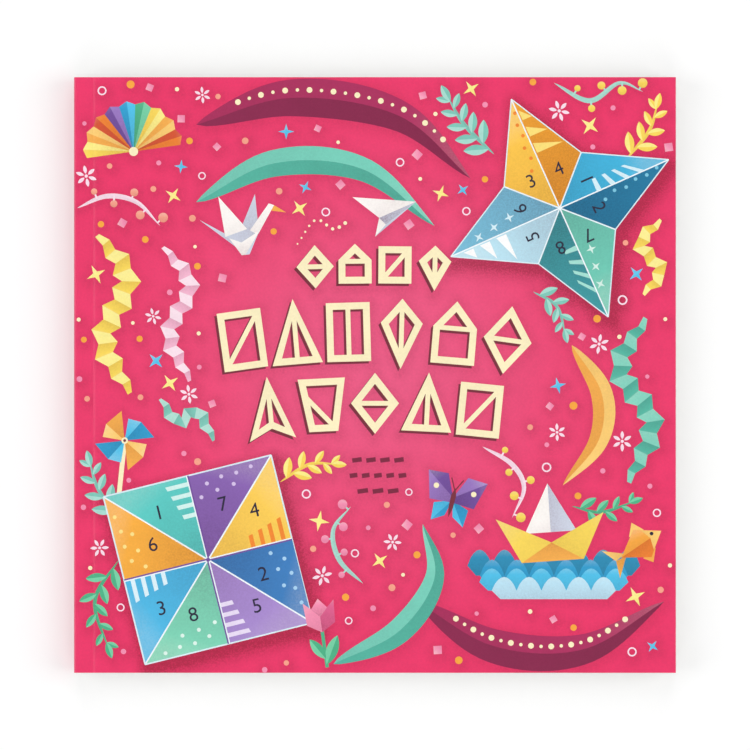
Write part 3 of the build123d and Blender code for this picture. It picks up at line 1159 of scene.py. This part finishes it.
# The middle: three rows of fold steps where a title would stand, and rows of small dashes below.
fold_row(["diamond", "house", "sheet", "kite"], 13.4, 8.8, 10.2, 37, 1.2)
fold_row(["sheet", "tent", "gate", "kite", "house", "diamond"], 17.8, 12.4, 17.5, 14.5, 4.0)
fold_row(["dart", "cup", "diamond", "tent", "sheet"], 17.6, 12.2, 15.5, -9.5, 3.6)
DASH_INK = "#7E2540"
for row, (dashes, long) in enumerate(((4, 3.2), (5, 2.6), (3, 3.6))):
    for i in range(dashes):
        x, y = (i - (dashes - 1) / 2) * (long + 1.5), -28.5 - 5.2 * row
        cover.line(place(x + 1, y, 8), (-long / 2, 0), (long / 2, 0), 1.5, DASH_INK)

# The back cover, behind the spine, has only a crane and a flower; the small things fill the rest.
front_low, front_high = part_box("front_cover")
spine_low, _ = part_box("cover_spine")
head, spine_x, score_x = front_high.y / MM, spine_low.x / MM, front_low.x / MM
back_middle = 2 * spine_x - front_high.z / MM
crane(place(back_middle, 8, 0, 1.8), WHITE)
tulip(place(back_middle, -52, 0, 1.3), ROSE, GREEN)
around = [math.tau * i / 40 for i in range(40)]
title_room = [(57 * math.cos(a), 8 + 40 * math.sin(a)) for a in around]
scattered(0.0, fore_x, 8.4, title_room)
scattered(back_middle, fore_x, 21.0, title_room)

# --- The cover's card ----------------------------------------------------------------------------
# Folding board, 0.35 mm thick: white on its printed side under a matt film, bare inside. It is
# creased at the two scores, wrapped round the block and glued to the spine and the outer sheets.
COVER_BEVEL = 0.08  # the guillotine leaves the trimmed edges a little rounded
FOLD_RADIUS = 0.55  # outside of the card where it turns round the block
GROOVE_HALF, GROOVE_DEPTH = 0.7, 0.1  # the pressed line at each score
LIFT = 0.25  # the front cover's fore edge stands off the sheets a little
FINE, COARSE = 1.25, 4.0  # spacing of the mesh on the front and on the back

thick = (front_high.z - front_low.z) / MM
top, tail = front_high.z / MM, front_low.y / MM
turn_x = spine_x + FOLD_RADIUS
quarter_turn = FOLD_RADIUS * math.pi / 2
spine_flat = top - 2 * FOLD_RADIUS
first_turn_end = turn_x - quarter_turn
spine_end = first_turn_end - spine_flat
second_turn_end = spine_end - quarter_turn
back_score = second_turn_end - (score_x - turn_x)
back_fore = back_score - (fore_x - score_x)


def wrapped(p, v, depth):
    """Where a point of the flat printed sheet comes to lie in the book. p is measured from the
    middle of the front leftwards round the spine to the back cover, v towards the head."""
    for score in (score_x, back_score):
        depth += max(0.0, GROOVE_DEPTH * (1 - abs(p - score) / GROOVE_HALF)) * (1 - depth / thick)
    if p >= turn_x:
        reach = max(0.0, (p - score_x) / (fore_x - score_x))
        rise = LIFT * reach**2 * (0.55 + 0.45 * abs(v / head) ** 1.5)
        return (p, v, top - depth + rise)
    if p >= first_turn_end:
        angle = (turn_x - p) / FOLD_RADIUS
        radius = FOLD_RADIUS - depth
        return (turn_x - radius * math.sin(angle), v, top - FOLD_RADIUS + radius * math.cos(angle))
    if p >= spine_end:
        return (spine_x + depth, v, top - FOLD_RADIUS - (first_turn_end - p))
    if p >= second_turn_end:
        angle = math.pi / 2 + (spine_end - p) / FOLD_RADIUS
        radius = FOLD_RADIUS - depth
        return (turn_x - radius * math.sin(angle), v, FOLD_RADIUS + radius * math.cos(angle))
    return (turn_x + second_turn_end - p, v, depth)


def trimmed(p, v):
    """Pushes a point on the printed sheet's rim out to the trimmed edge, past its bevel."""
    v = math.copysign(head, v) if abs(v) > head - COVER_BEVEL - 1e-4 else v
    if p > fore_x - COVER_BEVEL - 1e-4:
        p = fore_x
    if p < back_fore + COVER_BEVEL + 1e-4:
        p = back_fore
    return (p, v)


def ground_tones(drawn, flat, faces, tops):
    """How much the bare ground deepens beside what is printed on it: a narrow halo round every
    motif, and a wide soft shadow below the ones that seem to lift off."""
    tone = np.zeros(len(flat))
    inked = np.unique(faces[tops > 0])
    if len(inked):
        near = KDTree(len(inked))
        for i in inked:
            near.insert((*flat[i], 0.0), int(i))
        near.balance()
        for i, (x, y) in enumerate(flat):
            away = near.find((x - 0.5, y + 0.7, 0.0))[2]
            tone[i] -= 0.34 * max(0.0, 1 - away / 4.2) ** 1.5
    for outline, reach, strength in drawn.shadows:
        spot = flat - np.array([0.28, -0.4]) * reach
        inside = within_outline(outline, *spot.T)
        away = np.full(len(flat), np.inf)
        for start, end in zip(np.array(outline), np.array([*outline[1:], outline[0]])):
            side = end - start
            share = np.clip(((spot - start) @ side) / (side @ side), 0, 1)
            away = np.minimum(away, np.linalg.norm(spot - start - share[:, None] * side, axis=1))
        away[inside] = 0
        tone -= strength * np.clip(1 - away / reach, 0, 1) ** 1.6
    return np.maximum(tone, -1.0)


def card_piece(name, low_p, high_p, step, drawn, columns):
    """One panel of the cover card, cut from the printed sheet between two places along it."""
    low = (max(low_p, back_fore + COVER_BEVEL), tail + COVER_BEVEL)
    high = (min(high_p, fore_x - COVER_BEVEL), head - COVER_BEVEL)
    flat, faces, tops = cut_sheet(low, high, step, drawn, [c for c in columns if low[0] < c < high[0]])
    mesh, printed, walls = printed_slab(name, flat, faces, wrapped, trimmed, thick, 8.0, columns)
    middle_share = np.exp(-((flat[:, 0] / 62) ** 2 + ((flat[:, 1] - 4) / 58) ** 2))[:, None]
    ground = np.array(linear(GROUND_RIM)) * (1 - middle_share) + np.array(linear(GROUND_HEART)) * middle_share
    shade = ground_tones(drawn, flat, faces, tops)
    inks = ground[faces].astype(np.float32)
    tones = shade[faces].astype(np.float32)
    for number in np.unique(tops[tops > 0]):
        here = tops == number
        inks[here] = drawn.inks[number - 1]
        x, y = flat[faces[here], 0], flat[faces[here], 1]
        tones[here] = graded(drawn, number, x, y)
    coloured(mesh, printed * 3, inks, tones)
    bake_map(mesh, flat, faces, walls, np.array(low), np.array(high))
    smoothed(mesh, 28)
    mesh.materials.append(laminated)
    mesh.materials.append(board)
    for face in mesh.polygons[printed:]:
        face.material_index = 1
    return linked(name, mesh)


def bare_board():
    """The uncoated back of folding board: matt warm white, with grey fibre flecks and a soft felt
    texture. Its cut edge is the same pulp."""
    material = bpy.data.materials.new("uncoated_folding_board")
    material.use_nodes = True
    tree = material.node_tree
    shader = tree.nodes["Principled BSDF"]
    where = add(tree, "ShaderNodeTexCoord").outputs["Object"]
    fibres = add(
        tree, "ShaderNodeTexNoise",
        {"Vector": where, "Scale": 1 / (0.6 * MM), "Detail": 4.0, "Roughness": 0.6},
    )
    tint = add(tree, "ShaderNodeValToRGB", {"Fac": fibres.outputs["Fac"]})
    ramp_of(tint, [(0.32, "#E6E1D8"), (0.5, "#F1EDE5"), (0.68, "#F7F4EE")])
    bump = add(
        tree, "ShaderNodeBump",
        {"Height": fibres.outputs["Fac"], "Distance": 0.02 * MM, "Strength": 0.6},
    )
    tree.links.new(tint.outputs["Color"], shader.inputs["Base Color"])
    tree.links.new(bump.outputs["Normal"], shader.inputs["Normal"])
    shader.inputs["Roughness"].default_value = 0.82
    shader.inputs["IOR"].default_value = 1.47
    return material


laminated = offset_print("offset_print_under_matt_film", 0.34, 0.5, 0.008, 0.1)
board = bare_board()
bends = [score_x + k * GROOVE_HALF for k in (-1, -0.5, 0.5, 1)]
bends += [back_score + k * GROOVE_HALF for k in (-1, -0.5, 0.5, 1)]
bends += [turn_x - quarter_turn * k / 6 for k in range(7)]
bends += [spine_end - quarter_turn * k / 6 for k in range(7)]

wrap = card_piece("spine_wrap", back_score, score_x, FINE, cover, bends)
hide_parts("cover_spine")
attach(wrap, "block")

back = card_piece("back_panel", back_fore, back_score, COARSE, cover, bends)
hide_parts("back_cover")
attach(back, "back_cover")

front = card_piece("front_panel", score_x, fore_x, FINE, cover, bends)
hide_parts("front_cover")
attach(front, "front_cover")

# --- The stage -----------------------------------------------------------------------------------
# A white table top, one card's thickness below the book, where its opened back cover comes to lie.
FLOOR_SIDE = 6.0
floor_z = -thick * MM - 0.00005
ground = bpy.data.meshes.new("table_top")
side = FLOOR_SIDE / 2
ground.from_pydata(
    [(-side, -side, floor_z), (side, -side, floor_z), (side, side, floor_z), (-side, side, floor_z)],
    [], [(0, 1, 2, 3)],
)
table_top = linked("table_top", ground)
table_paint = bpy.data.materials.new("white_table")
table_paint.use_nodes = True
paint = table_paint.node_tree
paint.nodes.clear()
seen_by = add(paint, "ShaderNodeLightPath").outputs
matt = add(paint, "ShaderNodeBsdfDiffuse", {"Color": (0.82, 0.82, 0.82, 1)})
lift = add(
    paint, "ShaderNodeMath",
    {0: seen_by["Is Camera Ray"], 1: seen_by["Is Glossy Ray"]}, operation="MAXIMUM",
)
strength = add(paint, "ShaderNodeMath", {0: lift.outputs["Value"], 1: 0.2}, operation="MULTIPLY")
glow = add(paint, "ShaderNodeEmission", {"Strength": strength.outputs["Value"]})
white = add(paint, "ShaderNodeAddShader", {0: matt.outputs["BSDF"], 1: glow.outputs["Emission"]})
add(paint, "ShaderNodeOutputMaterial", {"Surface": white.outputs["Shader"]})
ground.materials.append(table_paint)

world = bpy.data.worlds.new("studio")
bpy.context.scene.world = world
world.use_nodes = True
sky = world.node_tree
sky.nodes.clear()
seen_by = add(sky, "ShaderNodeLightPath").outputs
AMBIENT = 0.25
brightness = add(
    sky, "ShaderNodeMapRange",
    {"Value": seen_by["Is Camera Ray"], "To Min": AMBIENT, "To Max": 1.0},
)
air = add(sky, "ShaderNodeBackground", {"Strength": brightness.outputs["Result"]})
add(sky, "ShaderNodeOutputWorld", {"Surface": air.outputs["Background"]})

LAMP_REACH, LAMP_SIDE, LAMP_POWER = 1.3, 0.9, 6.25
for name, azimuth, share in (("left", 180, 1.0), ("right", 0, 1.0), ("head", 90, 0.75), ("tail", 270, 0.75)):
    lamp = bpy.data.lights.new(f"softbox_{name}", "AREA")
    lamp.shape, lamp.size, lamp.energy = "SQUARE", LAMP_SIDE, LAMP_POWER * share
    box = bpy.data.objects.new(f"softbox_{name}", lamp)
    bpy.context.scene.collection.objects.link(box)
    turn, rise = math.radians(azimuth), math.radians(45)
    way = Vector((math.cos(turn) * math.cos(rise), math.sin(turn) * math.cos(rise), math.sin(rise)))
    box.location = way * LAMP_REACH
    box.rotation_euler = way.to_track_quat("Z", "Y").to_euler()
    box.visible_camera = False

# The camera looks straight down on the middle of the cover, which fills four fifths of the frame.
COVER_SHARE = 0.802667
LENS, SENSOR = 200.0, 36.0
view_side = (cad_box[1].x - cad_box[0].x) / COVER_SHARE
eye = bpy.data.cameras.new("copy_camera")
eye.lens, eye.sensor_width = LENS, SENSOR
camera = bpy.data.objects.new("copy_camera", eye)
bpy.context.scene.collection.objects.link(camera)
camera.location = (0, 0, cad_box[1].z + view_side / 2 / (SENSOR / 2 / LENS))
eye.clip_start, eye.clip_end = 0.05, 20
bpy.context.scene.camera = camera
bpy.context.scene.view_settings.view_transform = "Standard"
